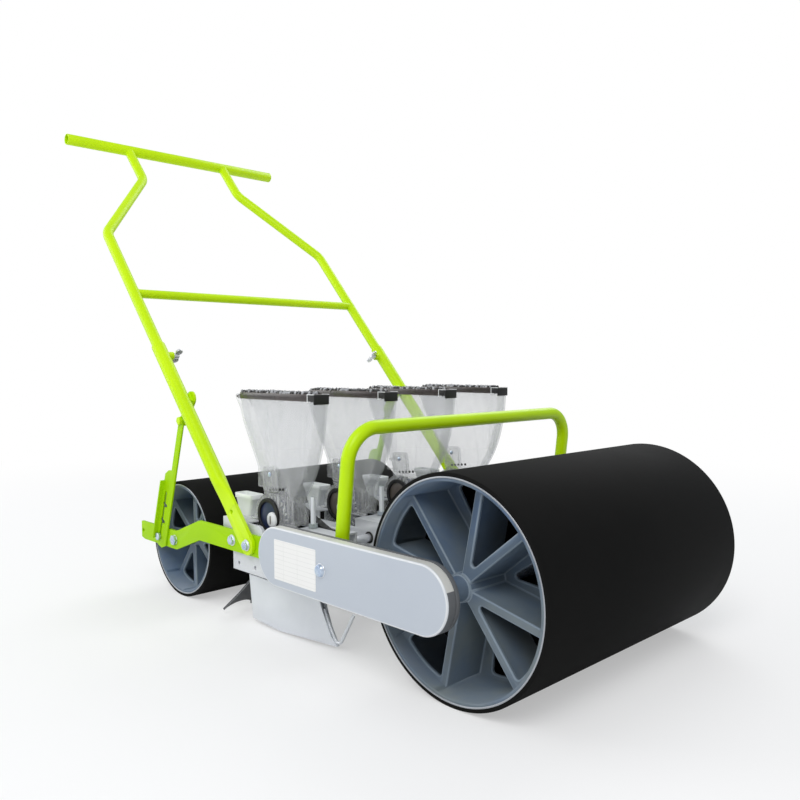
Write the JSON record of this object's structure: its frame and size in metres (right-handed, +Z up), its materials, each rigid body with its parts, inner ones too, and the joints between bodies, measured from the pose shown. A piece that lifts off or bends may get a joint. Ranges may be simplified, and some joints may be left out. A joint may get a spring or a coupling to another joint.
{
  "type": "seed planter",
  "caption": "Walk-behind seed planter with two ribbed-end drums, clear seed hoppers, openers, chain case and tilting, telescoping push handle",
  "frame": {"origin": "centre of the overall box at ground level", "axes": "+X forward towards the large front drum, +Y to the side away from the chain case, +Z up"},
  "size_m": [1.189, 0.5424, 0.8775],
  "materials": {
    "green_paint": "gloss lime green powder coat",
    "silver_paint": "satin silver-grey coat",
    "case_paint": "satin silver coat",
    "plain_steel": "satin sheet steel",
    "zinc_steel": "zinc plated, slightly bluish",
    "dark_paint": "dark grey coat",
    "black_rubber": "matt black",
    "black_plastic": "moulded, matt",
    "slate_plastic": "moulded, satin slate blue",
    "blue_plastic": "moulded, dark blue",
    "white_plastic": "moulded, white",
    "clear_plastic": "clear moulded plastic",
    "smoked_plastic": "smoked, pebbled top"
  },
  "bodies": {
    "frame": {"side_plate_near": "silver_paint", "side_plate_far": "silver_paint", "cross_tubes": "silver_paint", "front_arm_near": "silver_paint", "front_arm_far": "silver_paint", "chain_case_back": "case_paint", "chain_case_cover": "case_paint", "chain": "zinc_steel", "arm_near": "green_paint", "arm_far": "green_paint", "front_loop": "green_paint", "rear_axle": "zinc_steel", "frame_bolts": "zinc_steel", "bushes": "black_plastic", "unit_base_1": "silver_paint", "unit_base_2": "silver_paint", "unit_base_3": "silver_paint", "unit_base_4": "silver_paint", "seed_housing_1": "clear_plastic", "seed_housing_2": "clear_plastic", "seed_housing_3": "clear_plastic", "seed_housing_4": "clear_plastic", "hopper_1": "clear_plastic", "hopper_2": "clear_plastic", "hopper_3": "clear_plastic", "hopper_4": "clear_plastic", "drive_covers": "black_plastic", "seed_chutes": "white_plastic", "lid_latches": "black_plastic", "coverers": "dark_paint"},
    "front_drum": {"front_sleeve": "black_rubber", "front_shell": "plain_steel", "front_end_near": "slate_plastic", "front_end_far": "slate_plastic", "front_axle": "zinc_steel"},
    "rear_drum": {"rear_sleeve": "black_rubber", "rear_shell": "plain_steel", "rear_end_near": "slate_plastic", "rear_end_far": "slate_plastic"},
    "cross_shaft": {"drive_shaft": "zinc_steel"},
    "metering_1": {"seed_wheel_1": "blue_plastic"},
    "metering_2": {"seed_wheel_2": "blue_plastic"},
    "metering_3": {"seed_wheel_3": "blue_plastic"},
    "metering_4": {"seed_wheel_4": "blue_plastic"},
    "hopper_lid_1": {"lid_1": "smoked_plastic"},
    "hopper_lid_2": {"lid_2": "smoked_plastic"},
    "hopper_lid_3": {"lid_3": "smoked_plastic"},
    "hopper_lid_4": {"lid_4": "smoked_plastic"},
    "furrow_opener_1": {"opener_1": "plain_steel"},
    "furrow_opener_2": {"opener_2": "plain_steel"},
    "furrow_opener_3": {"opener_3": "plain_steel"},
    "furrow_opener_4": {"opener_4": "plain_steel"},
    "handle_lower": {"leg_near": "green_paint", "leg_far": "green_paint"},
    "handle_top": {"handle_upper": "green_paint"},
    "brace_strut_near": {"strut_near": "green_paint"},
    "brace_strut_far": {"strut_far": "green_paint"},
    "clamp_screw_near": {"wing_bolt_near": "zinc_steel"},
    "clamp_screw_far": {"wing_bolt_far": "zinc_steel"}
  },
  "joints": [
    {"name": "front_drum_spin", "type": "hinge", "parent": "frame", "child": "front_drum", "pos_m": [0.45655, 0.00776, 0.138], "axis": [0, 1, 0], "continuous": true, "deforming": ["chain"]},
    {"name": "rear_drum_spin", "type": "hinge", "parent": "frame", "child": "rear_drum", "pos_m": [-0.17745, 0.00776, 0.1], "axis": [0, 1, 0], "continuous": true},
    {"name": "cross_shaft_spin", "type": "hinge", "parent": "frame", "child": "cross_shaft", "pos_m": [0.17715, 0.00776, 0.138], "axis": [0, 1, 0], "continuous": true},
    {"name": "metering_1_spin", "type": "hinge", "parent": "frame", "child": "metering_1", "pos_m": [0.07955, -0.19474, 0.166], "axis": [0, 1, 0], "continuous": true},
    {"name": "metering_2_spin", "type": "hinge", "parent": "frame", "child": "metering_2", "pos_m": [0.07955, -0.05974, 0.166], "axis": [0, 1, 0], "continuous": true},
    {"name": "metering_3_spin", "type": "hinge", "parent": "frame", "child": "metering_3", "pos_m": [0.07955, 0.07526, 0.166], "axis": [0, 1, 0], "continuous": true},
    {"name": "metering_4_spin", "type": "hinge", "parent": "frame", "child": "metering_4", "pos_m": [0.07955, 0.21026, 0.166], "axis": [0, 1, 0], "continuous": true},
    {"name": "lid_1_hinge", "type": "hinge", "parent": "frame", "child": "hopper_lid_1", "pos_m": [-0.00745, -0.19474, 0.3525], "axis": [0, -1, 0], "range_deg": [0, 105]},
    {"name": "lid_2_hinge", "type": "hinge", "parent": "frame", "child": "hopper_lid_2", "pos_m": [-0.00745, -0.05974, 0.3525], "axis": [0, -1, 0], "range_deg": [0, 105]},
    {"name": "lid_3_hinge", "type": "hinge", "parent": "frame", "child": "hopper_lid_3", "pos_m": [-0.00745, 0.07526, 0.3525], "axis": [0, -1, 0], "range_deg": [0, 105]},
    {"name": "lid_4_hinge", "type": "hinge", "parent": "frame", "child": "hopper_lid_4", "pos_m": [-0.00745, 0.21026, 0.3525], "axis": [0, -1, 0], "range_deg": [0, 105]},
    {"name": "opener_1_depth", "type": "slide", "parent": "frame", "child": "furrow_opener_1", "axis": [0, 0, 1], "range_m": [-0.015, 0.01]},
    {"name": "opener_2_depth", "type": "slide", "parent": "frame", "child": "furrow_opener_2", "axis": [0, 0, 1], "range_m": [-0.015, 0.01]},
    {"name": "opener_3_depth", "type": "slide", "parent": "frame", "child": "furrow_opener_3", "axis": [0, 0, 1], "range_m": [-0.015, 0.01]},
    {"name": "opener_4_depth", "type": "slide", "parent": "frame", "child": "furrow_opener_4", "axis": [0, 0, 1], "range_m": [-0.015, 0.01]},
    {"name": "handle_tilt", "type": "hinge", "parent": "frame", "child": "handle_lower", "pos_m": [0.07555, 0.00776, 0.1345], "axis": [0, -1, 0], "range_deg": [0, 15]},
    {"name": "handle_length", "type": "slide", "parent": "handle_lower", "child": "handle_top", "axis": [-0.6691, 0, 0.7431], "range_m": [-0.025, 0.06]},
    {"name": "strut_near_swing", "type": "hinge", "parent": "handle_lower", "child": "brace_strut_near", "pos_m": [-0.14235, -0.23104, 0.30835], "axis": [0, -1, 0], "range_deg": [-9, 0]},
    {"name": "strut_far_swing", "type": "hinge", "parent": "handle_lower", "child": "brace_strut_far", "pos_m": [-0.14235, 0.24656, 0.30835], "axis": [0, -1, 0], "range_deg": [-9, 0]},
    {"name": "clamp_near_turn", "type": "hinge", "parent": "handle_lower", "child": "clamp_screw_near", "pos_m": [-0.17939, -0.23224, 0.41764], "axis": [0, 1, 0], "range_deg": [-90, 90]},
    {"name": "clamp_far_turn", "type": "hinge", "parent": "handle_lower", "child": "clamp_screw_far", "pos_m": [-0.17939, 0.24776, 0.41764], "axis": [0, 1, 0], "range_deg": [-90, 90]}
  ],
  "couplings": [
    {"joint": "cross_shaft_spin", "follows": "front_drum_spin", "ratio": 1},
    {"joint": "metering_1_spin", "follows": "front_drum_spin", "ratio": 1},
    {"joint": "metering_2_spin", "follows": "front_drum_spin", "ratio": 1},
    {"joint": "metering_3_spin", "follows": "front_drum_spin", "ratio": 1},
    {"joint": "metering_4_spin", "follows": "front_drum_spin", "ratio": 1},
    {"joint": "strut_near_swing", "follows": "handle_tilt", "ratio": -0.583},
    {"joint": "strut_far_swing", "follows": "handle_tilt", "ratio": -0.583}
  ]
}
